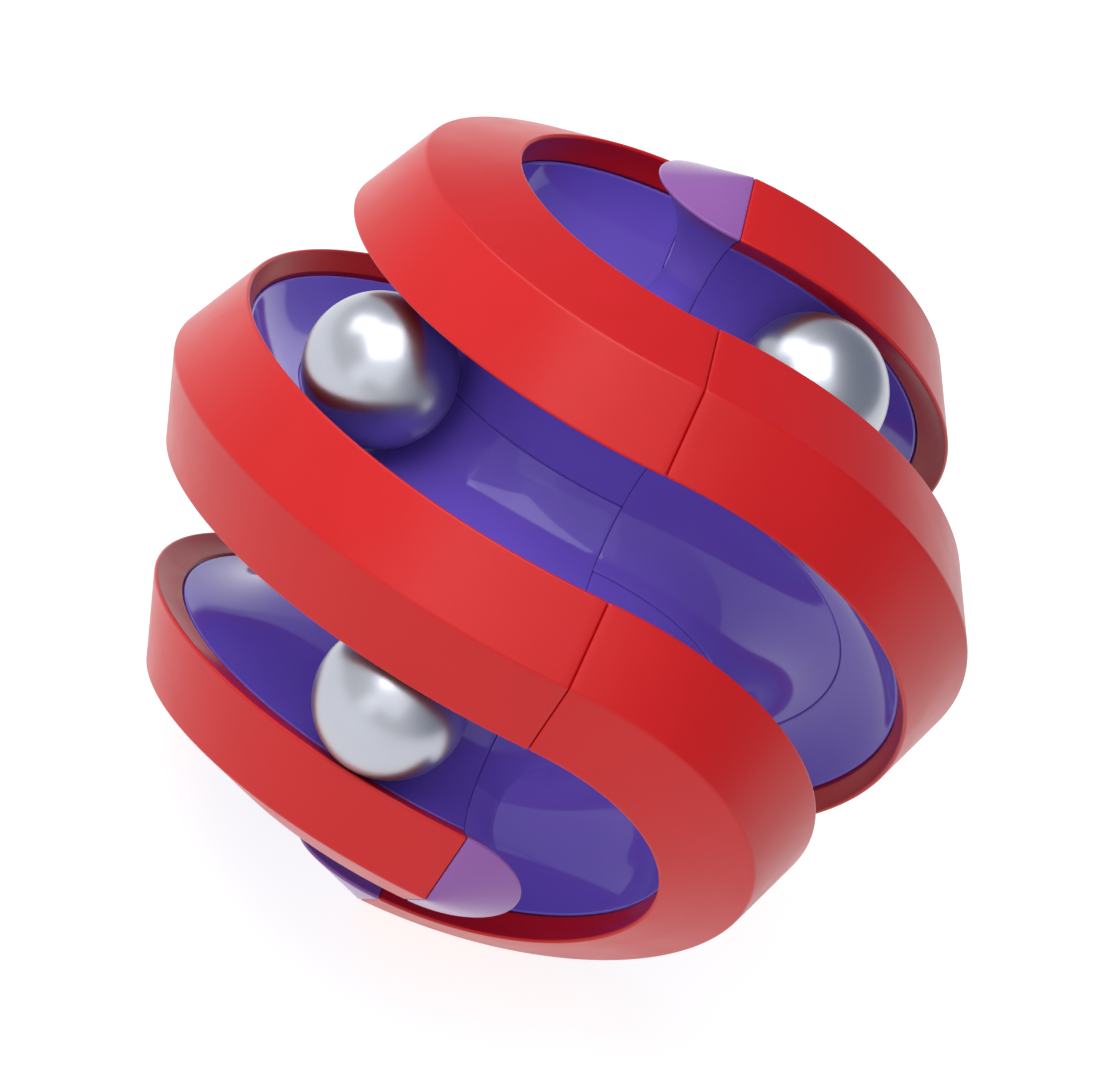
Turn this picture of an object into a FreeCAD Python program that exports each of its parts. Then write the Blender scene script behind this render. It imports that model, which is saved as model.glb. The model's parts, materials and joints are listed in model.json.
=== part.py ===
import FreeCAD, Part
import math
import os
from FreeCAD import Vector

# A rotating track ball. Two identical halves meet on the plane x = 0 and twist about the X axis.
# Each half is half a turn of one octagonal section about the half's own axis, which lies in that plane,
# and carries four round tracks. Rails overhang the tracks, so steel balls roll in them and stay in.
# A half is built with its own axis on +Z and its bulk on +X, then leaned over and set on its side.
# A section point is (distance from the half's axis, height along it). All lengths are in millimetres.

# Octagonal section
RIDGE_RADIUS = 32.5
CORNER_STEP = 45.0
FLAT_RADIUS = RIDGE_RADIUS * math.cos(math.radians(CORNER_STEP / 2))
RIDGE_ROUND = 0.4

# Tracks and balls
TRACK_DISTANCE = 25.2
TRACK_RADIUS = 6.9
BALL_RADIUS = 6.0
CAP_TRACK = 0.5 * CORNER_STEP
SIDE_TRACK = 1.5 * CORNER_STEP
LIP_ANGLE = math.degrees(math.acos((FLAT_RADIUS - TRACK_DISTANCE) / TRACK_RADIUS))
EQUATOR_FOOT = 129.0

# Joint faces between the mouldings
SEAM_GAP = 0.12
TONGUE_HALF_WIDTH = 1.2
TONGUE_DEPTH = 3.2
FIT = 0.03
STALK_PEG_RADIUS = 1.6
STALK_PEG_LENGTH = 5.5
CAP_PEG_RADIUS = 2.0
CAP_PEG_LENGTH = 4.0
CAP_PEG_X = 6.0
CAP_PEG_Y = 9.0

# Twist pivot along X
HUB_POCKET_RADIUS = 5.0
HUB_POCKET_DEPTH = 7.0
RUNNING_CLEARANCE = 0.05
BUSH_END_PLAY = 0.2
SCREW_RADIUS = 1.25
SCREW_HEAD_RADIUS = 2.1
SCREW_HEAD_HEIGHT = 1.8
SCREW_HEAD_SEAT = 13.6
SCREW_TIP = 13.4
HEX_SOCKET_WIDTH = 1.5
HEX_SOCKET_DEPTH = 1.0
HEAD_BORE_RADIUS = 2.2
HEAD_BORE_START = 8.5
NUT_LENGTH = 4.6
WASHER_THICKNESS = 0.4
SPRING_WIRE_RADIUS = 0.22
SPRING_RADIUS = 1.7
SPRING_TURNS = 5
THRUST_INNER_RADIUS = 5.4
THRUST_OUTER_RADIUS = 9.0
THRUST_RECESS = 0.3

# How the halves stand: lean of each half's own axis from +Z towards +Y, and the side of the seam it is on
HALVES = {"left": (-1, 22.5), "right": (1, 67.5)}

# Balls: half, track angle from the half's axis, degrees round the track from the seam at the front,
# and how far the ball sits off the middle of its track, outwards and along the half's axis
BALLS = {
    "ball_left_upper": ("left", SIDE_TRACK, 61.0, 0.0, 0.0),
    "ball_right_upper": ("right", SIDE_TRACK, 25.5, 0.0, 0.0),
    "ball_left_lower": ("left", 180.0 - SIDE_TRACK, 23.6, 0.25, -0.78),
}

ORIGIN = Vector(0, 0, 0)
AXIS_X = Vector(1, 0, 0)
AXIS_Z = Vector(0, 0, 1)
BIG = 4 * RIDGE_RADIUS


def polar(distance, angle):
    """Section point at a distance from the centre and an angle from the half's axis."""
    turn = math.radians(angle)
    return distance * math.sin(turn), distance * math.cos(turn)


def on_track(track, direction):
    """Section point on a track's round wall, where the wall's normal points in the given direction."""
    middle = polar(TRACK_DISTANCE, track)
    out = polar(TRACK_RADIUS, direction)
    return middle[0] + out[0], middle[1] + out[1]


def spin(point, angle):
    """Section point turned about the centre, away from the half's axis."""
    turn = math.radians(angle)
    away, along = point
    return (
        away * math.cos(turn) + along * math.sin(turn),
        along * math.cos(turn) - away * math.sin(turn),
    )


def section(start, *steps):
    """Closed face from a start point. A step is (end,) for a line or (middle, end) for an arc."""
    edges = []
    here = Vector(0, -start[0], start[1])
    for step in steps + ((start,),):
        points = [Vector(0, -away, along) for away, along in step]
        if len(points) == 1:
            edges.append(Part.makeLine(here, points[0]))
        else:
            edges.append(Part.Arc(here, *points).toShape())
        here = points[-1]
    return Part.Face(Part.Wire(edges))


def half_turn(face):
    """Solid of half a turn about +Z through +X, trimmed back from the seam."""
    room = Part.makeBox(BIG, 2 * BIG, 2 * BIG, Vector(SEAM_GAP, -BIG, -BIG))
    return face.revolve(ORIGIN, AXIS_Z, 180).common(room)


def half_ring(inner, outer, low, high):
    """Half a turn of a rectangular section."""
    return half_turn(section((inner, low), ((outer, low),), ((outer, high),), ((inner, high),)))


def flipped(shape):
    """The same piece for the other end of the half's axis."""
    return shape.rotated(ORIGIN, AXIS_X, 180)


def on_half(shape, half):
    """Shape moved from the half's own frame to the place where that half stands."""
    side, lean = HALVES[half]
    placed = shape.copy()
    if side < 0:
        placed = placed.rotated(ORIGIN, AXIS_Z, 180)
    return placed.rotated(ORIGIN, AXIS_X, -lean)


def x_rod(radius, start, end):
    """Cylinder along X from start to end."""
    return Part.makeCylinder(radius, end - start, Vector(start, 0, 0), AXIS_X)


def x_tube(outer, inner, start, end):
    """Hollow cylinder along X from start to end."""
    return x_rod(outer, start, end).cut(x_rod(inner, start - 1, end + 1))


def rail(upper_foot, lower_foot):
    """Rail over the ridge at 90 degrees: two facets, two overhanging walls and a tongue underneath.

    The feet are the directions of the track wall's normal where the rail ends, on each track.
    """
    upper_track, lower_track = SIDE_TRACK, 180 - SIDE_TRACK
    upper_lip = upper_track + LIP_ANGLE
    lower_lip = lower_track - LIP_ANGLE
    half_angle = CORNER_STEP / 2
    back = RIDGE_ROUND * math.tan(math.radians(half_angle))
    down = math.radians(half_angle)
    shoulder = (RIDGE_RADIUS - back * math.sin(down), back * math.cos(down))
    crown = (RIDGE_RADIUS - RIDGE_ROUND * (1 / math.cos(down) - 1), 0)
    foot = on_track(upper_track, upper_foot)
    base = foot[0]
    return section(
        foot,
        (on_track(upper_track, (upper_foot + upper_lip) / 2), on_track(upper_track, upper_lip)),
        (shoulder,),
        (crown, (shoulder[0], -shoulder[1])),
        (on_track(lower_track, lower_lip),),
        (on_track(lower_track, (lower_foot + lower_lip) / 2), on_track(lower_track, lower_foot)),
        ((base, -TONGUE_HALF_WIDTH),),
        ((base - TONGUE_DEPTH, -TONGUE_HALF_WIDTH),),
        ((base - TONGUE_DEPTH, TONGUE_HALF_WIDTH),),
        ((base, TONGUE_HALF_WIDTH),),
    )


def tongue_slot(base):
    """Section of the slot that takes a rail's tongue, at the ridge at 90 degrees."""
    deep = base - TONGUE_DEPTH - FIT
    wide = TONGUE_HALF_WIDTH + FIT
    return section((deep, -wide), ((base + 1, -wide),), ((base + 1, wide),), ((deep, wide),))


def leaned_face(face, angle):
    """Section face turned in its own plane towards the half's axis."""
    return face.rotated(ORIGIN, AXIS_X, -angle)


def equator_rail():
    return half_turn(rail(EQUATOR_FOOT, 180 - EQUATOR_FOOT))


def shoulder_rail():
    """The rail at 45 degrees. Its feet end where the track walls run level and upright."""
    level = 90 + CORNER_STEP
    return half_turn(leaned_face(rail(level, 180 - level), CORNER_STEP))


def carrier():
    """Blue ring that stands on the core and holds the equator rail."""
    neck = on_track(SIDE_TRACK, 180)
    foot = on_track(SIDE_TRACK, EQUATOR_FOOT)
    upper = on_track(SIDE_TRACK, (180 + EQUATOR_FOOT) / 2)
    ring = section(
        neck,
        (upper, foot),
        ((foot[0], -foot[1]),),
        ((upper[0], -upper[1]), (neck[0], -neck[1])),
        ((neck[0], -TONGUE_HALF_WIDTH),),
        ((neck[0] - TONGUE_DEPTH, -TONGUE_HALF_WIDTH),),
        ((neck[0] - TONGUE_DEPTH, TONGUE_HALF_WIDTH),),
        ((neck[0], TONGUE_HALF_WIDTH),),
    )
    return half_turn(ring).cut(half_turn(tongue_slot(foot[0])))


def core():
    """Middle moulding, with the floors of the two side tracks and the hub for the pivot."""
    top = on_track(SIDE_TRACK, 270)
    floor = on_track(SIDE_TRACK, 225)
    neck = on_track(SIDE_TRACK, 180)
    body = half_turn(
        section(
            (0, -top[1]),
            ((top[0], -top[1]),),
            ((floor[0], -floor[1]), (neck[0], -neck[1])),
            (neck,),
            (floor, top),
            ((0, top[1]),),
        )
    )
    body = body.cut(half_turn(tongue_slot(neck[0])))
    cuts = [
        x_rod(HUB_POCKET_RADIUS, 0, HUB_POCKET_DEPTH),
        x_rod(SCREW_RADIUS + RUNNING_CLEARANCE, 0, HEAD_BORE_START + 1),
        x_rod(HEAD_BORE_RADIUS, HEAD_BORE_START, RIDGE_RADIUS),
        x_rod(THRUST_OUTER_RADIUS + 2 * FIT, 0, SEAM_GAP + THRUST_RECESS),
    ]
    for y in (-CAP_PEG_Y, CAP_PEG_Y):
        hole = Part.makeCylinder(
            CAP_PEG_RADIUS + FIT, CAP_PEG_LENGTH + 2 * FIT, Vector(CAP_PEG_X, y, top[1] - CAP_PEG_LENGTH - FIT)
        )
        cuts += [hole, flipped(hole)]
    for cut in cuts:
        body = body.cut(cut)
    return body


def cap():
    """End moulding, with the island side of a side track, the cap track and the shoulder slot."""
    base = on_track(SIDE_TRACK, 270)
    outer_foot = on_track(SIDE_TRACK, 0)
    inner_foot = on_track(CAP_TRACK, 90)
    neck = on_track(CAP_TRACK, 270)
    peg_hole = STALK_PEG_RADIUS + FIT
    peg_floor = neck[1] - STALK_PEG_LENGTH - FIT
    body = half_turn(
        section(
            (0, base[1]),
            (base,),
            (on_track(SIDE_TRACK, 315), outer_foot),
            (inner_foot,),
            (on_track(CAP_TRACK, 180), neck),
            ((peg_hole, neck[1]),),
            ((peg_hole, peg_floor),),
            ((0, peg_floor),),
        )
    )
    shoulder_base = on_track(SIDE_TRACK, 90 + CORNER_STEP)[0]
    body = body.cut(half_turn(leaned_face(tongue_slot(shoulder_base), CORNER_STEP)))
    for y in (-CAP_PEG_Y, CAP_PEG_Y):
        peg = Part.makeCylinder(
            CAP_PEG_RADIUS, CAP_PEG_LENGTH + 1, Vector(CAP_PEG_X, y, base[1] - CAP_PEG_LENGTH)
        )
        body = body.fuse(peg)
    return body


def island():
    """Half mushroom on the half's axis: a shallow cone on a waisted stalk with a peg."""
    neck = on_track(CAP_TRACK, 270)
    lip_direction = CAP_TRACK - LIP_ANGLE
    lip = on_track(CAP_TRACK, lip_direction)
    waist = on_track(CAP_TRACK, (lip_direction - 90) / 2)
    return half_turn(
        section(
            (0, RIDGE_RADIUS),
            (lip,),
            (waist, neck),
            ((STALK_PEG_RADIUS, neck[1]),),
            ((STALK_PEG_RADIUS, neck[1] - STALK_PEG_LENGTH),),
            ((0, neck[1] - STALK_PEG_LENGTH),),
        )
    )


def half_pieces(half):
    """The nine mouldings of one half, in place."""
    end_pieces = {"cap": cap(), "island": island(), "shoulder_rail": shoulder_rail()}
    pieces = {"core": core(), "carrier": carrier(), "equator_rail": equator_rail()}
    for name, shape in end_pieces.items():
        pieces["upper_" + name] = shape
        pieces["lower_" + name] = flipped(shape)
    return {half + "_" + name: on_half(shape, half) for name, shape in pieces.items()}


def ball(half, track, turn, outward, along):
    """Steel ball in a half's track."""
    side, lean = HALVES[half]
    away, height = polar(TRACK_DISTANCE, track)
    away += outward
    height += along
    angle = math.radians(turn)
    front = -side
    middle = Vector(away * math.sin(angle), front * away * math.cos(angle), height)
    sphere = Part.makeSphere(BALL_RADIUS, middle)
    return on_half(sphere, half)


def hex_socket(width, face_x, depth):
    """Hexagonal prism that cuts a key socket into a screw head facing -X."""
    corner = width / math.sqrt(3)
    points = []
    for number in range(7):
        turn = math.radians(60 * number)
        points.append(Vector(face_x, corner * math.cos(turn), corner * math.sin(turn)))
    return Part.Face(Part.makePolygon(points)).extrude(Vector(depth, 0, 0))


def axle_screw():
    """Cap screw along X. Its head is in the left core and its tip in the right core."""
    head_face = -SCREW_HEAD_SEAT - SCREW_HEAD_HEIGHT
    head = x_rod(SCREW_HEAD_RADIUS, head_face, -SCREW_HEAD_SEAT)
    shank = x_rod(SCREW_RADIUS, -SCREW_HEAD_SEAT - 0.1, SCREW_TIP)
    return head.fuse(shank).cut(hex_socket(HEX_SOCKET_WIDTH, head_face, HEX_SOCKET_DEPTH))


def axle_spring():
    """Compression spring between its washer and the screw's head, made of tilted half rings of wire."""
    far = -SCREW_HEAD_SEAT + SPRING_WIRE_RADIUS + RUNNING_CLEARANCE
    near = -HEAD_BORE_START - WASHER_THICKNESS - SPRING_WIRE_RADIUS - RUNNING_CLEARANCE
    rise = (near - far) / (2 * SPRING_TURNS)
    tilt = math.degrees(math.atan2(rise / 2, SPRING_RADIUS))
    loop_radius = math.hypot(SPRING_RADIUS, rise / 2)
    wire = Part.Wire(Part.makeCircle(SPRING_WIRE_RADIUS, Vector(loop_radius, 0, 0), Vector(0, 1, 0)))
    half_ring_of_wire = Part.Face(wire).revolve(ORIGIN, AXIS_Z, 180).rotated(ORIGIN, Vector(0, 1, 0), tilt)
    rings = []
    for number in range(2 * SPRING_TURNS):
        turned = half_ring_of_wire.rotated(ORIGIN, AXIS_Z, 180 * number)
        rings.append(turned.translated(Vector(0, 0, rise * (number + 0.5))))
    coil = rings[0].fuse(rings[1:]).Solids[0]
    coil = coil.rotated(ORIGIN, Vector(0, 1, 0), 90)
    return coil.translated(Vector(far, 0, 0))


def pivot_pieces():
    """Hardware on the twist axis."""
    hole = SCREW_RADIUS + RUNNING_CLEARANCE
    bush_end = HUB_POCKET_DEPTH - BUSH_END_PLAY
    nut_start = HEAD_BORE_START
    thrust_end = SEAM_GAP + THRUST_RECESS - FIT / 2
    bush_radius = HUB_POCKET_RADIUS - RUNNING_CLEARANCE
    washer_end = -HEAD_BORE_START
    return {
        "pivot_bush": x_tube(bush_radius, hole, -bush_end, bush_end),
        "thrust_washer": x_tube(THRUST_OUTER_RADIUS, THRUST_INNER_RADIUS, -thrust_end, thrust_end),
        "axle_nut": x_tube(HEAD_BORE_RADIUS - FIT, SCREW_RADIUS + FIT / 2, nut_start, nut_start + NUT_LENGTH),
        "spring_washer": x_tube(SCREW_HEAD_RADIUS, hole, washer_end - WASHER_THICKNESS, washer_end),
        "axle_screw": axle_screw(),
        "axle_spring": axle_spring(),
    }


def all_pieces():
    pieces = {}
    for half in HALVES:
        pieces.update(half_pieces(half))
    for name, where in BALLS.items():
        pieces[name] = ball(*where)
    pieces.update(pivot_pieces())
    return pieces


os.makedirs("parts", exist_ok=True)
for node, solid in all_pieces().items():
    if not solid.isValid():
        raise ValueError(node + " is not a valid shape")
    solid.exportStep("parts/" + node + ".step")
    print(node, len(solid.Solids), round(solid.Volume, 1))
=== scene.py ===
import json
import math

import bmesh
import bpy
import numpy as np
from mathutils import Matrix, Vector


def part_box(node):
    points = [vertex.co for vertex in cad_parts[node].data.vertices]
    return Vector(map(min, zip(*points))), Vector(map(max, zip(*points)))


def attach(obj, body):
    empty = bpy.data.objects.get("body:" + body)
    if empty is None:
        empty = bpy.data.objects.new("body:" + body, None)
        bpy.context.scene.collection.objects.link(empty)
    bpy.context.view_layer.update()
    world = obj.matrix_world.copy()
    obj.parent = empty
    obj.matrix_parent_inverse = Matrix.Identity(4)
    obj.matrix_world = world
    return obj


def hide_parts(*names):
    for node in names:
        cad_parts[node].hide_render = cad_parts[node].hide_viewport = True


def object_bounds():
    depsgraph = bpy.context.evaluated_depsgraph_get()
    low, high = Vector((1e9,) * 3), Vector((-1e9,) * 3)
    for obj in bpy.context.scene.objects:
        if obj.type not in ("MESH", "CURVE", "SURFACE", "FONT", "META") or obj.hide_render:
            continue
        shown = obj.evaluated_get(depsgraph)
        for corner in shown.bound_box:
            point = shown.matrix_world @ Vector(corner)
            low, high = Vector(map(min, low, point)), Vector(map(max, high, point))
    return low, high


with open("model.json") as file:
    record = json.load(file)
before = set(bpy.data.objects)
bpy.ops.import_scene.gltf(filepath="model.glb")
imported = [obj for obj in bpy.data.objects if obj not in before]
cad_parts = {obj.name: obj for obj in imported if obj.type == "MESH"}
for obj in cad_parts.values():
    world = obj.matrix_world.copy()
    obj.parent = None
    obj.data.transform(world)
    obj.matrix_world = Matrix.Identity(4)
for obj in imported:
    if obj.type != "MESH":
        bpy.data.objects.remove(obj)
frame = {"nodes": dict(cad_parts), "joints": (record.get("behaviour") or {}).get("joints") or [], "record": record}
cad_low, cad_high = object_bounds()

# One millimetre, in metres
MM = 0.001

# Octagonal section and its tracks. Lengths are in millimetres and angles in degrees.
# A section point is (distance from the half's axis, height along it).
CORNER_STEP = 45.0
FLAT_RADIUS = cad_high.z / MM
RIDGE_RADIUS = FLAT_RADIUS / math.cos(math.radians(CORNER_STEP / 2))
TRACK_DISTANCE = 25.2
TRACK_RADIUS = 6.9
CAP_TRACK = 0.5 * CORNER_STEP
SIDE_TRACK = 1.5 * CORNER_STEP
LIP_ANGLE = math.degrees(math.acos((FLAT_RADIUS - TRACK_DISTANCE) / TRACK_RADIUS))
BALL_RADIUS = 6.0

# Directions of a track wall's normal at the foot of the equator rail, and of a shoulder rail
EQUATOR_FOOT = 129.0
LEVEL_FOOT = 90 + CORNER_STEP

# Joints between the mouldings, in millimetres. SEAM_GAP is from the seam's plane to each half.
SEAM_GAP = 0.012
TONGUE_HALF_WIDTH = 1.2
TONGUE_DEPTH = 3.2
FIT = 0.03
STALK_PEG_RADIUS = 1.6
STALK_PEG_LENGTH = 5.5
CAP_PEG_RADIUS = 2.0
CAP_PEG_LENGTH = 4.0
CAP_PEG_X = 6.0
CAP_PEG_Y = 9.0

# Room for the pivot, in millimetres
HUB_POCKET_RADIUS = 5.0
HUB_POCKET_DEPTH = 7.0
SCREW_HOLE_RADIUS = 1.3
HEAD_BORE_RADIUS = 2.2
HEAD_BORE_START = 8.5
THRUST_RECESS_RADIUS = 9.06
THRUST_RECESS_END = 0.42
OVERCUT = 1.0

# Rounding of the moulded edges, in millimetres
RIDGE_ROUND = 0.4
LIP_ROUND = 0.2
FOOT_ROUND = 0.18
HIDDEN_ROUND = 0.12
APEX_ROUND = 0.6
NECK_ROUND = 0.03
RAIL_END_ROUND = 0.24
TRACK_END_ROUND = 0.1

# Distances from the centre, in millimetres, over which an island's colour turns to a bluer violet towards the
# centre
DEEP_START = 29.6
DEEP_END = 28.4

# Fineness of the meshes. POINT_SPACING is in millimetres and ROUND_STEP in degrees.
TURN_STEPS = 120
END_STEPS = 4
POINT_SPACING = 0.5
ROUND_STEP = 14.0
TIP_POINTS = 4
BORE_SIDES = 64
RECESS_SIDES = 96
PEG_SIDES = 32
BALL_CUTS = 31

# How much of its room a point may move in by, the length in millimetres that counts as none, and the
# distance in metres at which vertices merge
INSET_SHARE = 0.95
TINY = 1e-6
MERGE_DISTANCE = 1e-8


# ---------------------------------------------------------------- section outlines


def polar(distance, angle):
    """Section point at a distance from the centre and an angle from the half's axis."""
    turn = math.radians(angle)
    return np.array([distance * math.sin(turn), distance * math.cos(turn)])


def track_point(track, angle):
    """Point of a track's round wall, at the given direction of its normal."""
    return polar(TRACK_DISTANCE, track) + polar(TRACK_RADIUS, angle)


def track_arc(track, start, end):
    """Points along a track's round wall, from one direction of its normal to another."""
    count = max(2, math.ceil(TRACK_RADIUS * math.radians(abs(end - start)) / POINT_SPACING))
    return np.array([track_point(track, angle) for angle in np.linspace(start, end, count + 1)])


def leaned(points, angle):
    """Section points turned about the centre, towards the half's axis."""
    turn = math.radians(angle)
    spin = np.array([[math.cos(turn), -math.sin(turn)], [math.sin(turn), math.cos(turn)]])
    return np.asarray(points) @ spin.T


def unit(vector):
    """The vector at length 1."""
    return vector / np.linalg.norm(vector)


def cut_back(points, start, end):
    """A polyline shortened by a length at each end."""
    steps = np.linalg.norm(np.diff(points, axis=0), axis=1)
    along = np.concatenate([[0], np.cumsum(steps)])
    low, high = start, along[-1] - end
    inside = points[(along > low + TINY) & (along < high - TINY)]
    ends = [[np.interp(at, along, points[:, k]) for k in (0, 1)] for at in (low, high)]
    return np.vstack([ends[:1], inside, ends[1:]])


def supported(points):
    """A straight run with points added near its ends, so that it shades flat."""
    if len(points) > 2:
        return points
    length = np.linalg.norm(points[1] - points[0])
    if length < 4 * HIDDEN_ROUND:
        return points
    share = HIDDEN_ROUND / length
    inner = [points[0] + (points[1] - points[0]) * s for s in (share, 1 - share)]
    return np.vstack([points[:1], inner, points[1:]])


def rounded(before, corner, after, radius):
    """Arc that rounds a corner between two directions, and the length it takes off each run."""
    turn = math.acos(max(-1.0, min(1.0, float(before @ after))))
    reach = radius * math.tan(turn / 2)
    start, end = corner - before * reach, corner + after * reach
    weight = math.cos(turn / 2)
    steps = max(2, math.ceil(math.degrees(turn) / ROUND_STEP))
    points = []
    for s in np.linspace(0, 1, steps + 1)[1:-1]:
        shares = np.array([(1 - s) ** 2, 2 * weight * s * (1 - s), s * s])
        points.append((shares @ np.array([start, corner, end])) / shares.sum())
    return np.array(points).reshape(-1, 2), reach


def outline(runs, rounds, closed):
    """Outline of runs joined at rounded corners. rounds gives the radius at each run's start."""
    total = len(runs)
    arcs, reaches = [], []
    for number, run in enumerate(runs):
        if not closed and number == 0:
            arcs.append(np.empty((0, 2)))
            reaches.append(0.0)
            continue
        last = runs[number - 1]
        arc, reach = rounded(unit(last[-1] - last[-2]), run[0], unit(run[1] - run[0]), rounds[number])
        arcs.append(arc)
        reaches.append(reach)
    points = []
    for number, run in enumerate(runs):
        end = reaches[(number + 1) % total] if closed or number + 1 < total else 0.0
        points += [arcs[number], supported(cut_back(np.asarray(run, float), reaches[number], end))]
    return np.vstack(points)


def line(*points):
    """Straight runs from each point to the next."""
    return [np.array(pair, float) for pair in zip(points[:-1], points[1:])]


def rail_outline(upper_foot):
    """Rail over the ridge at 90 degrees, with a tongue inside.
    upper_foot is the direction of the track wall's normal at the rail's foot."""
    wall = track_arc(SIDE_TRACK, upper_foot, SIDE_TRACK + LIP_ANGLE)
    base = wall[0][0]
    ridge = (RIDGE_RADIUS, 0.0)
    lower = wall[::-1] * (1, -1)
    deep = base - TONGUE_DEPTH
    wide = TONGUE_HALF_WIDTH
    runs = [wall, *line(wall[-1], ridge, lower[0]), lower]
    runs += line(lower[-1], (base, -wide), (deep, -wide), (deep, wide), (base, wide), wall[0])
    rounds = [FOOT_ROUND, LIP_ROUND, RIDGE_ROUND, LIP_ROUND, FOOT_ROUND] + [HIDDEN_ROUND] * 4
    return outline(runs, rounds, closed=True)


def carrier_outline():
    """Ring between the core and the equator rail, with a slot outside and a tongue inside."""
    wall = track_arc(SIDE_TRACK, 180, EQUATOR_FOOT)
    neck, foot = wall[0][0], wall[-1][0]
    lower = wall[::-1] * (1, -1)
    slot, deep = TONGUE_HALF_WIDTH + FIT, foot - TONGUE_DEPTH - FIT
    wide, inner = TONGUE_HALF_WIDTH, neck - TONGUE_DEPTH
    runs = [wall]
    runs += line(wall[-1], (foot, slot), (deep, slot), (deep, -slot), (foot, -slot), lower[0])
    runs += [lower]
    runs += line(lower[-1], (neck, -wide), (inner, -wide), (inner, wide), (neck, wide), wall[0])
    rounds = ([FOOT_ROUND] * 2 + [HIDDEN_ROUND] * 4) * 2
    return outline(runs, rounds, closed=True)


def core_outline():
    """Middle moulding, from the bottom of its axis to the top."""
    upper = track_arc(SIDE_TRACK, 180, 270)
    top, neck = upper[-1], upper[0]
    lower = upper[::-1] * (1, -1)
    slot, deep = TONGUE_HALF_WIDTH + FIT, neck[0] - TONGUE_DEPTH - FIT
    runs = line((0, -top[1]), lower[0])
    runs += [lower]
    runs += line(lower[-1], (neck[0], -slot), (deep, -slot), (deep, slot), (neck[0], slot), neck)
    runs += [upper]
    runs += line(top, (0, top[1]))
    rounds = [0, FOOT_ROUND, FOOT_ROUND] + [HIDDEN_ROUND] * 4 + [FOOT_ROUND, FOOT_ROUND]
    return outline(runs, rounds, closed=False)


def cap_outline():
    """End moulding, from the middle of its underside to the floor of the stalk's socket."""
    outer = track_arc(SIDE_TRACK, 270, 360)
    inner = track_arc(CAP_TRACK, 90, 270)
    base = track_point(SIDE_TRACK, LEVEL_FOOT)[0]
    slot, deep = TONGUE_HALF_WIDTH + FIT, base - TONGUE_DEPTH - FIT
    slot_points = leaned([(base, -slot), (deep, -slot), (deep, slot), (base, slot)], CORNER_STEP)
    hole = STALK_PEG_RADIUS + FIT
    floor = inner[-1][1] - STALK_PEG_LENGTH - FIT
    runs = line((0, outer[0][1]), outer[0])
    runs += [outer]
    runs += line(outer[-1], *slot_points, inner[0])
    runs += [inner]
    runs += line(inner[-1], (hole, inner[-1][1]), (hole, floor), (0, floor))
    rounds = [0, FOOT_ROUND, FOOT_ROUND] + [HIDDEN_ROUND] * 4
    rounds += [FOOT_ROUND, NECK_ROUND, HIDDEN_ROUND, HIDDEN_ROUND]
    return outline(runs, rounds, closed=False)


def island_outline():
    """Half mushroom, from its blunt tip to the bottom of its peg."""
    wall = track_arc(CAP_TRACK, CAP_TRACK - LIP_ANGLE, -90)
    slope = CORNER_STEP / 2
    middle = RIDGE_RADIUS - APEX_ROUND / math.cos(math.radians(slope))
    angles = np.linspace(0, slope, TIP_POINTS)
    tip = np.array([polar(APEX_ROUND, angle) + (0, middle) for angle in angles])
    neck, bottom = wall[-1][1], wall[-1][1] - STALK_PEG_LENGTH
    runs = [np.vstack([tip, wall[:1]]), wall]
    runs += line(wall[-1], (STALK_PEG_RADIUS, neck), (STALK_PEG_RADIUS, bottom), (0, bottom))
    return outline(runs, [0, LIP_ROUND, NECK_ROUND, HIDDEN_ROUND, HIDDEN_ROUND], closed=False)


# ---------------------------------------------------------------- solids of half a turn


def insets(loop, most):
    """Inward normals of a closed outline, and how far each point can move in without crossing."""
    ahead, behind = np.roll(loop, -1, 0), np.roll(loop, 1, 0)
    along = ahead - behind
    along /= np.maximum(np.linalg.norm(along, axis=1), TINY)[:, None]
    area = np.sum(loop[:, 0] * ahead[:, 1] - ahead[:, 0] * loop[:, 1])
    inward = np.stack([-along[:, 1], along[:, 0]], 1) * (1 if area > 0 else -1)
    apart = loop[None] - loop[:, None]
    facing = np.einsum("ijk,ik->ij", apart, inward)
    square = np.sum(apart**2, axis=2)
    room = np.where(facing > TINY, square / (2 * np.maximum(facing, TINY)), most)
    return inward, np.minimum(most, INSET_SHARE * room.min(1))


def half_rings(points, closed, end_round):
    """Rings of a half turn, as x, y, z in millimetres, with its two ends at the seam rounded."""
    mirrored = points if closed else np.vstack([points, points[-2:0:-1] * (-1, 1)])
    inward, depth = (part[: len(points)] for part in insets(mirrored, end_round))
    start = SEAM_GAP + end_round
    ends = []
    for turn in np.linspace(0, math.pi / 2, END_STEPS + 1)[:-1]:
        moved = points + inward * (depth * (1 - math.sin(turn)))[:, None]
        x = SEAM_GAP + end_round * (1 - math.cos(turn))
        ends.append(np.column_stack([np.full(len(points), x), moved[:, 0], moved[:, 1]]))
    rings = list(ends)
    for turn in np.linspace(0, math.pi, TURN_STEPS + 1):
        away, height = points.T
        x = start + math.sin(turn) * np.maximum(away - start, 0)
        rings.append(np.column_stack([x, away * math.cos(turn), height]))
    return rings + [end * (1, -1, 1) for end in reversed(ends)]


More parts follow.
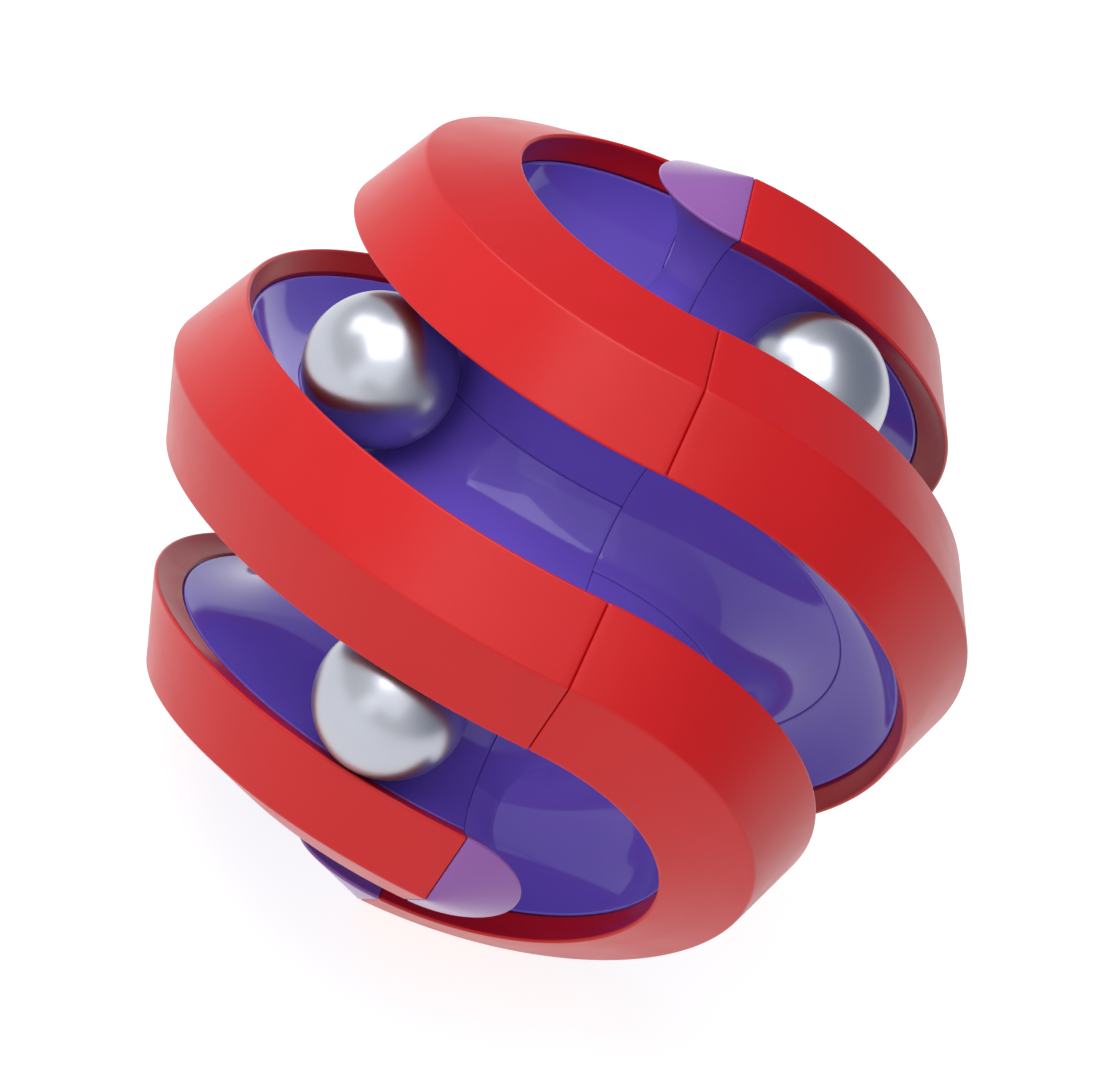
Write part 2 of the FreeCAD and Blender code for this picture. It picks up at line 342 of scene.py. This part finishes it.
def half_turn(points, closed, end_round):
    """Closed bmesh of half a turn about +Z through +X, in metres."""
    bm = bmesh.new()
    rings = half_rings(points, closed, end_round)
    made = [[bm.verts.new(p * MM) for p in ring] for ring in rings]
    count = len(points)
    for first, second in zip(made[:-1], made[1:]):
        for i in range(count if closed else count - 1):
            j = (i + 1) % count
            bm.faces.new((first[i], first[j], second[j], second[i]))
    if closed:
        bm.faces.new(made[0])
        bm.faces.new(made[-1][::-1])
    else:
        bm.faces.new(made[0] + made[-1][::-1])
    bmesh.ops.remove_doubles(bm, verts=bm.verts, dist=MERGE_DISTANCE)
    bmesh.ops.dissolve_degenerate(bm, edges=bm.edges, dist=MERGE_DISTANCE)
    bmesh.ops.recalc_face_normals(bm, faces=bm.faces)
    return bm


def add_object(name, bm):
    """Object with a smooth mesh from a bmesh, which is freed."""
    for face in bm.faces:
        face.smooth = True
    mesh = bpy.data.meshes.new(name)
    bm.to_mesh(mesh)
    bm.free()
    piece = bpy.data.objects.new(name, mesh)
    bpy.context.scene.collection.objects.link(piece)
    return piece


def rod(radius, start, end, across=(0.0, 0.0), axis="X", sides=BORE_SIDES):
    """Closed bmesh of a cylinder along X or Z, with sizes in millimetres."""
    bm = bmesh.new()
    size = {"radius1": radius * MM, "radius2": radius * MM, "depth": (end - start) * MM}
    bmesh.ops.create_cone(bm, cap_ends=True, segments=sides, **size)
    middle = (start + end) / 2
    if axis == "X":
        place = Matrix.Translation(Vector((middle, *across)) * MM)
        bm.transform(place @ Matrix.Rotation(math.pi / 2, 4, "Y"))
    else:
        bm.transform(Matrix.Translation(Vector((*across, middle)) * MM))
    return bm


def combine(piece, tools, operation):
    """Cuts tools out of a piece, or joins them to it, and keeps only the result."""
    for number, bm in enumerate(tools):
        tool = add_object(f"tool_{number}", bm)
        change = piece.modifiers.new("combine", "BOOLEAN")
        change.object = tool
        change.operation = operation
        change.solver = "EXACT"
        graph = bpy.context.evaluated_depsgraph_get()
        result = bpy.data.meshes.new_from_object(piece.evaluated_get(graph))
        piece.modifiers.clear()
        old = piece.data
        piece.data = result
        bpy.data.meshes.remove(old)
        tool_mesh = tool.data
        bpy.data.objects.remove(tool)
        bpy.data.meshes.remove(tool_mesh)
    return piece


# ---------------------------------------------------------------- materials

# Where the two tones of a surface start and end in its noise, and the height of its bump in metres
TONE_STOPS = (0.3, 0.7)
BUMP_HEIGHT = 0.00002
PEEL_STRENGTH = 0.05

# Least and most of a surface's roughness, as shares of its material's
SMOOTH_PLASTIC = 0.8
ROUGH_PLASTIC = 1.25
SMOOTH_METAL = 0.94
ROUGH_METAL = 1.1


class Nodes:
    """Short way to build a material's or a world's node tree."""

    def __init__(self, tree):
        self.tree = tree

    def add(self, kind, inputs=None, **settings):
        """New node. inputs gives a number, a colour or another node's output for each socket."""
        node = self.tree.nodes.new(kind)
        for name, value in settings.items():
            setattr(node, name, value)
        for name, value in (inputs or {}).items():
            if isinstance(value, bpy.types.NodeSocket):
                self.link(value, node.inputs[name])
            else:
                node.inputs[name].default_value = value
        return node

    def link(self, output, socket):
        self.tree.links.new(output, socket)

    def place(self):
        """Position on the piece, in metres."""
        return self.add("ShaderNodeTexCoord").outputs["Object"]

    def noise(self, place, scale, detail, distortion=0.0):
        """Noise from 0 to 1, its scale in waves per metre."""
        inputs = {"Vector": place, "Scale": scale, "Detail": detail, "Distortion": distortion}
        return self.add("ShaderNodeTexNoise", inputs).outputs["Fac"]

    def ramp(self, factor, stops):
        """Colour between stops, each a position and a linear colour."""
        node = self.add("ShaderNodeValToRGB", {"Fac": factor})
        elements = node.color_ramp.elements
        while len(elements) < len(stops):
            elements.new(0.5)
        for element, (position, colour) in zip(elements, stops):
            element.position = position
            element.color = (*colour, 1.0)
        return node.outputs["Color"]

    def spread(self, value, low, high):
        """A value from 0 to 1, stretched from low to high."""
        node = self.add("ShaderNodeMapRange", {"Value": value, "To Min": low, "To Max": high})
        return node.outputs["Result"]


def linear(colour):
    """Linear colour from 0 to 255 sRGB values."""
    return tuple((c / 255 / 12.92) if c <= 10 else ((c / 255 + 0.055) / 1.055) ** 2.4 for c in colour)


def new_material(name):
    """A material with its node builder and its shader."""
    material = bpy.data.materials.new(name)
    material.use_nodes = True
    nodes = Nodes(material.node_tree)
    shader = material.node_tree.nodes["Principled BSDF"]
    return material, nodes, shader


def two_tones(nodes, drift, dark, light):
    """Colour that drifts between two sRGB tones."""
    start, end = TONE_STOPS
    return nodes.ramp(drift, ((start, linear(dark)), (end, linear(light))))


def finish_surface(nodes, shader, tone, rough, height, strength):
    """Links a surface's colour and roughness, and the bump from its height."""
    relief = {"Height": height, "Strength": strength, "Distance": BUMP_HEIGHT}
    bump = nodes.add("ShaderNodeBump", relief)
    nodes.link(tone, shader.inputs["Base Color"])
    nodes.link(rough, shader.inputs["Roughness"])
    nodes.link(bump.outputs["Normal"], shader.inputs["Normal"])


def moulded_plastic(name, dark, light, roughness, specular, deep=None):
    """Glossy injection-moulded plastic: faint tone drift, orange-peel skin and handling smears.
    A deep colour, where given, takes over below the toy's outer skin."""
    material, nodes, shader = new_material(name)
    place = nodes.place()
    tone = two_tones(nodes, nodes.noise(place, scale=90.0, detail=3.0), dark, light)
    if deep:
        distance = nodes.add("ShaderNodeVectorMath", {0: place}, operation="LENGTH").outputs["Value"]
        limits = {"Value": distance, "From Min": DEEP_END * MM, "From Max": DEEP_START * MM}
        skin_share = nodes.add("ShaderNodeMapRange", limits).outputs["Result"]
        colours = {"Factor": skin_share, "A": (*linear(deep), 1.0), "B": tone}
        tone = nodes.add("ShaderNodeMix", colours, data_type="RGBA").outputs["Result"]
    smear = nodes.noise(place, scale=260.0, detail=5.0, distortion=0.6)
    rough = nodes.spread(smear, roughness * SMOOTH_PLASTIC, roughness * ROUGH_PLASTIC)
    peel = nodes.noise(place, scale=1400.0, detail=2.0)
    finish_surface(nodes, shader, tone, rough, peel, PEEL_STRENGTH)
    shader.inputs["Specular IOR Level"].default_value = specular
    return material


def metal(name, dark, light, roughness, grain_scale, grain):
    """Metal with fine random wear in its roughness and a trace of surface grain."""
    material, nodes, shader = new_material(name)
    place = nodes.place()
    tone = two_tones(nodes, nodes.noise(place, scale=140.0, detail=4.0), dark, light)
    fine = nodes.noise(place, grain_scale, detail=2.0)
    rough = nodes.spread(fine, roughness * SMOOTH_METAL, roughness * ROUGH_METAL)
    finish_surface(nodes, shader, tone, rough, fine, grain)
    shader.inputs["Metallic"].default_value = 1.0
    return material


MATERIALS = {
    "rail_plastic": moulded_plastic(
        "rail_red", dark=(178, 15, 17), light=(183, 18, 21), roughness=0.32, specular=0.28
    ),
    "track_plastic": moulded_plastic(
        "track_violet", dark=(100, 77, 182), light=(105, 82, 188), roughness=0.08, specular=0.26
    ),
    "island_plastic": moulded_plastic(
        "island_mauve",
        dark=(126, 78, 145),
        light=(131, 83, 150),
        roughness=0.2,
        specular=0.22,
        deep=(112, 88, 190),
    ),
    "ball_steel": metal(
        "polished_steel",
        dark=(178, 181, 190),
        light=(183, 186, 195),
        roughness=0.3,
        grain_scale=900.0,
        grain=0.01,
    ),
    "hardware_steel": metal(
        "zinc_steel",
        dark=(150, 152, 156),
        light=(176, 178, 182),
        roughness=0.32,
        grain_scale=2600.0,
        grain=0.2,
    ),
    "nut_brass": metal(
        "turned_brass",
        dark=(180, 140, 66),
        light=(204, 164, 84),
        roughness=0.26,
        grain_scale=2200.0,
        grain=0.15,
    ),
    "bush_plastic": moulded_plastic(
        "bush_acetal", dark=(222, 221, 214), light=(232, 231, 226), roughness=0.4, specular=0.5
    ),
}


# ---------------------------------------------------------------- the pieces

HARDWARE = ("pivot_bush", "thrust_washer", "axle_nut", "spring_washer", "axle_screw", "axle_spring")
BALLS = ("ball_left_upper", "ball_left_lower", "ball_right_upper")

# The material slot of each CAD node, and the axis of each joint
slot_of = {row["node"]: row["material_slot"] for row in frame["record"]["subparts"]}
joint_axis = {joint["name"]: Vector(joint["axis"]) for joint in frame["joints"]}


def half_matrix(axis, side):
    """Matrix from a half's own frame, with its axis on +Z and its bulk on +X, to the toy's."""
    across = Vector((side, 0, 0))
    return Matrix((across, axis.cross(across), axis)).transposed().to_4x4()


HALVES = {
    "left": half_matrix(joint_axis["roll_left_upper"], -1),
    "right": half_matrix(joint_axis["roll_right_upper"], 1),
}

# A half's lower end is its upper end turned over
FLIP = Matrix.Rotation(math.pi, 4, "X")


def put(piece, node, body):
    """A finished piece takes a CAD node's place on a body."""
    piece.data.materials.clear()
    piece.data.materials.append(MATERIALS[slot_of[node]])
    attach(piece, body)
    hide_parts(node)


def put_copies(piece, name, placings):
    """A copy of the piece at each place, for the node of that name there. The piece itself goes."""
    for place, matrix in placings.items():
        mesh = piece.data.copy()
        mesh.transform(matrix)
        copy = bpy.data.objects.new(f"{place}_{name}_moulded", mesh)
        bpy.context.scene.collection.objects.link(copy)
        put(copy, f"{place}_{name}", place.split("_")[0] + "_half")
    bpy.data.objects.remove(piece)


def core_piece():
    """Middle moulding with its hub pocket, screw hole, head bore, thrust recess and peg holes."""
    piece = add_object("core", half_turn(core_outline(), False, TRACK_END_ROUND))
    top = track_point(SIDE_TRACK, 270)[1]
    holes = [
        rod(HUB_POCKET_RADIUS, -OVERCUT, HUB_POCKET_DEPTH),
        rod(SCREW_HOLE_RADIUS, OVERCUT, HEAD_BORE_START + OVERCUT),
        rod(HEAD_BORE_RADIUS, HEAD_BORE_START, RIDGE_RADIUS),
        rod(THRUST_RECESS_RADIUS, -OVERCUT, THRUST_RECESS_END, sides=RECESS_SIDES),
    ]
    for y in (-CAP_PEG_Y, CAP_PEG_Y):
        for side in (-1, 1):
            low, high = sorted((side * (top - CAP_PEG_LENGTH - FIT), side * (top + OVERCUT)))
            holes.append(rod(CAP_PEG_RADIUS + FIT, low, high, (CAP_PEG_X, y), "Z", PEG_SIDES))
    return combine(piece, holes, "DIFFERENCE")


def cap_piece():
    """End moulding with its two pegs."""
    piece = add_object("cap", half_turn(cap_outline(), False, TRACK_END_ROUND))
    base = track_point(SIDE_TRACK, 270)[1]
    pegs = [
        rod(CAP_PEG_RADIUS, base - CAP_PEG_LENGTH, base + OVERCUT, (CAP_PEG_X, y), "Z", PEG_SIDES)
        for y in (-CAP_PEG_Y, CAP_PEG_Y)
    ]
    return combine(piece, pegs, "UNION")


def build_halves():
    """Every moulding: the middle ones once for each half, the end ones once for each end."""
    equator = rail_outline(EQUATOR_FOOT)
    shoulder = leaned(rail_outline(LEVEL_FOOT), CORNER_STEP)
    middle_pieces = {
        "core": core_piece(),
        "carrier": add_object("carrier", half_turn(carrier_outline(), True, TRACK_END_ROUND)),
        "equator_rail": add_object("equator_rail", half_turn(equator, True, RAIL_END_ROUND)),
    }
    end_pieces = {
        "cap": cap_piece(),
        "island": add_object("island", half_turn(island_outline(), False, TRACK_END_ROUND)),
        "shoulder_rail": add_object("shoulder_rail", half_turn(shoulder, True, RAIL_END_ROUND)),
    }
    for name, piece in middle_pieces.items():
        put_copies(piece, name, HALVES)
    ends = {}
    for half, matrix in HALVES.items():
        ends[half + "_upper"] = matrix
        ends[half + "_lower"] = matrix @ FLIP
    for name, piece in end_pieces.items():
        put_copies(piece, name, ends)


def build_ball(node):
    """Steel ball with evenly sized faces: a cube's grid pushed out to a sphere."""
    bm = bmesh.new()
    bmesh.ops.create_cube(bm, size=2.0)
    bmesh.ops.subdivide_edges(bm, edges=bm.edges, cuts=BALL_CUTS, use_grid_fill=True)
    for vert in bm.verts:
        spread = Vector([math.tan(c * math.pi / 4) for c in vert.co])
        vert.co = spread.normalized() * BALL_RADIUS * MM
    low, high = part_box(node)
    bmesh.ops.translate(bm, verts=bm.verts, vec=(low + high) / 2)
    put(add_object(node + "_polished", bm), node, node)


def finish_cad_nodes():
    """The pivot's hardware keeps its CAD shape and gets its own materials."""
    for node in HARDWARE:
        mesh = frame["nodes"][node].data
        mesh.materials.clear()
        mesh.materials.append(MATERIALS[slot_of[node]])


# ---------------------------------------------------------------- stage, light and camera

# Angles are in degrees and lengths in metres
CAMERA_AZIMUTH = -13.80
CAMERA_ELEVATION = 39.35
CAMERA_ROLL = 34.24
CAMERA_DISTANCE = 0.6
CAMERA_CLIP = (0.01, 10.0)
FRAME_WIDTH_IN_RIDGES = 2.5834

# The surroundings are bright on one side. A share is the cosine of the angle from that side: the sky is
# dark below DARK_SHARE and fully bright above BRIGHT_SHARE.
BRIGHT_SIDE = (-60.0, -10.0)
BRIGHT_SKY = (0.86, 0.86, 0.86)
DARK_SKY = (0.32, 0.34, 0.41)
DARK_SHARE = -0.75
BRIGHT_SHARE = 0.25

FLOOR_SIZE = 6.0
FLOOR_DROP = 0.0002
FLOOR_TONES = ((0.4, (0.28, 0.28, 0.28)), (0.6, (0.30, 0.30, 0.30)))
FLOOR_GLOW = 0.85

# Azimuth, elevation, width and height, and brightness as the eye would see it
SOFTBOX_DISTANCE = 0.6
SOFTBOXES = {
    "side_key": (-115.0, 38.0, (0.27, 0.32), 2.2),
    "top_key": (-75.0, 70.0, (0.50, 0.50), 3.0),
    "front_glow": (-38.0, 13.0, (0.25, 0.25), 0.6),
    "fill": (-16.0, 48.0, (0.60, 0.60), 0.55),
}


def direction(azimuth, elevation):
    """Unit vector from the toy. Azimuth 0 is towards -Y and 90 towards +X."""
    a, e = math.radians(azimuth), math.radians(elevation)
    return Vector((math.sin(a) * math.cos(e), -math.cos(a) * math.cos(e), math.sin(e)))


def aim(thing, place, roll=0.0):
    """Puts a camera or light at a place, looking at the origin, with its top towards +Z."""
    back = place.normalized()
    right = Vector((0, 0, 1)).cross(back).normalized()
    turned = Matrix((right, back.cross(right), back)).transposed() @ Matrix.Rotation(roll, 3, "Z")
    thing.matrix_world = Matrix.Translation(place) @ turned.to_4x4()


def make_camera():
    """Parallel view from the upper front, leaning to its right."""
    data = bpy.data.cameras.new("camera")
    data.type = "ORTHO"
    data.ortho_scale = FRAME_WIDTH_IN_RIDGES * RIDGE_RADIUS * MM
    data.clip_start, data.clip_end = CAMERA_CLIP
    camera = bpy.data.objects.new("camera", data)
    bpy.context.scene.collection.objects.link(camera)
    place = direction(CAMERA_AZIMUTH, CAMERA_ELEVATION) * CAMERA_DISTANCE
    aim(camera, place, math.radians(CAMERA_ROLL))
    bpy.context.scene.camera = camera


def softbox(name, azimuth, elevation, size, radiance):
    """Rectangular area light aimed at the toy."""
    data = bpy.data.lights.new(name, "AREA")
    data.shape = "RECTANGLE"
    data.size, data.size_y = size
    data.energy = radiance * math.pi * size[0] * size[1]
    light = bpy.data.objects.new(name, data)
    bpy.context.scene.collection.objects.link(light)
    aim(light, direction(azimuth, elevation) * SOFTBOX_DISTANCE)


def make_world():
    """Bright surroundings that darken behind the toy, on its right."""
    world = bpy.data.worlds.new("studio")
    world.use_nodes = True
    bpy.context.scene.world = world
    nodes = Nodes(world.node_tree)
    place = nodes.add("ShaderNodeTexCoord").outputs["Generated"]
    pair = {0: place, 1: direction(*BRIGHT_SIDE)}
    towards = nodes.add("ShaderNodeVectorMath", pair, operation="DOT_PRODUCT").outputs["Value"]
    limits = {"Value": towards, "From Min": DARK_SHARE, "From Max": BRIGHT_SHARE}
    share = nodes.add("ShaderNodeMapRange", limits, interpolation_type="SMOOTHSTEP").outputs["Result"]
    background = world.node_tree.nodes["Background"]
    nodes.link(nodes.ramp(share, ((0.0, DARK_SKY), (1.0, BRIGHT_SKY))), background.inputs["Color"])
    background.inputs["Strength"].default_value = 1.0


def make_floor():
    """Plain pale floor under the toy."""
    material, nodes, shader = new_material("pale_floor")
    tone = nodes.ramp(nodes.noise(nodes.place(), scale=40.0, detail=2.0), FLOOR_TONES)
    nodes.link(tone, shader.inputs["Base Color"])
    shader.inputs["Roughness"].default_value = 0.9
    shader.inputs["Specular IOR Level"].default_value = 0.0
    shader.inputs["Emission Color"].default_value = (1.0, 1.0, 1.0, 1.0)
    shader.inputs["Emission Strength"].default_value = FLOOR_GLOW
    bm = bmesh.new()
    bmesh.ops.create_grid(bm, x_segments=2, y_segments=2, size=FLOOR_SIZE / 2)
    bmesh.ops.translate(bm, verts=bm.verts, vec=(0, 0, cad_low.z - FLOOR_DROP))
    floor = add_object("floor", bm)
    floor.data.materials.append(material)


make_camera()
build_halves()
for ball in BALLS:
    build_ball(ball)
finish_cad_nodes()
make_world()
make_floor()
for name, row in SOFTBOXES.items():
    softbox(name, *row)
bpy.context.scene.view_settings.view_transform = "Standard"
